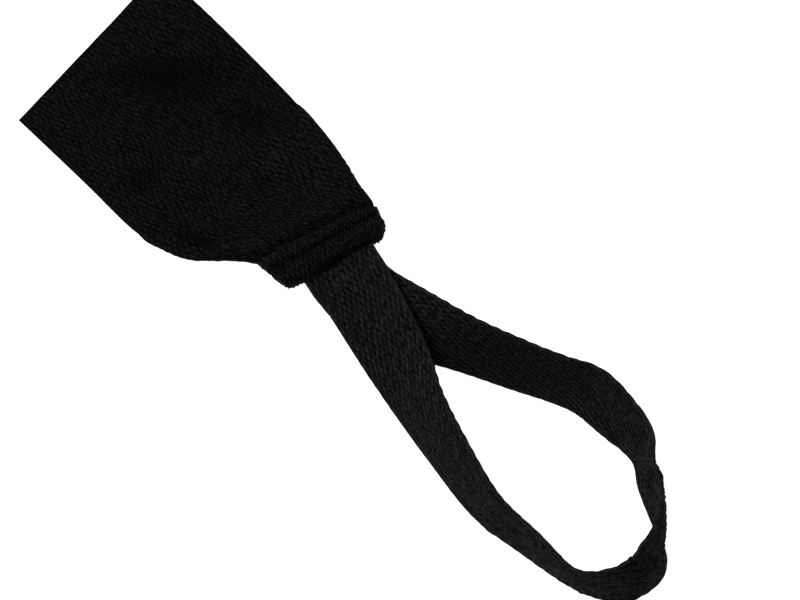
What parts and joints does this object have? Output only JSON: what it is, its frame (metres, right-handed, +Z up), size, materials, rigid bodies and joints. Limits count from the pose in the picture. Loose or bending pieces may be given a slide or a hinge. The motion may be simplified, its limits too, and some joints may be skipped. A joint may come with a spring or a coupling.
{
  "type": "boxing hand wrap",
  "caption": "Thumb-loop end of a cotton hand wrap, lying flat: a woven band narrowed to a stitched end hem, with a webbing loop on edge for the thumb.",
  "frame": {"origin": "on the table, under the middle of the whole piece's box", "axes": "+X along the band from its cut end towards the thumb loop, +Y across the band, +Z up from the table"},
  "size_m": [0.189, 0.0544, 0.019],
  "materials": {
    "band_cotton": "black woven cotton, matt, with a fine rib along the band",
    "loop_webbing": "black cotton webbing, matt, with a coarse rib along the strip"
  },
  "bodies": {
    "root": {"wrap_band": "band_cotton", "end_hem": "band_cotton", "thumb_loop": "loop_webbing"}
  },
  "joints": []
}
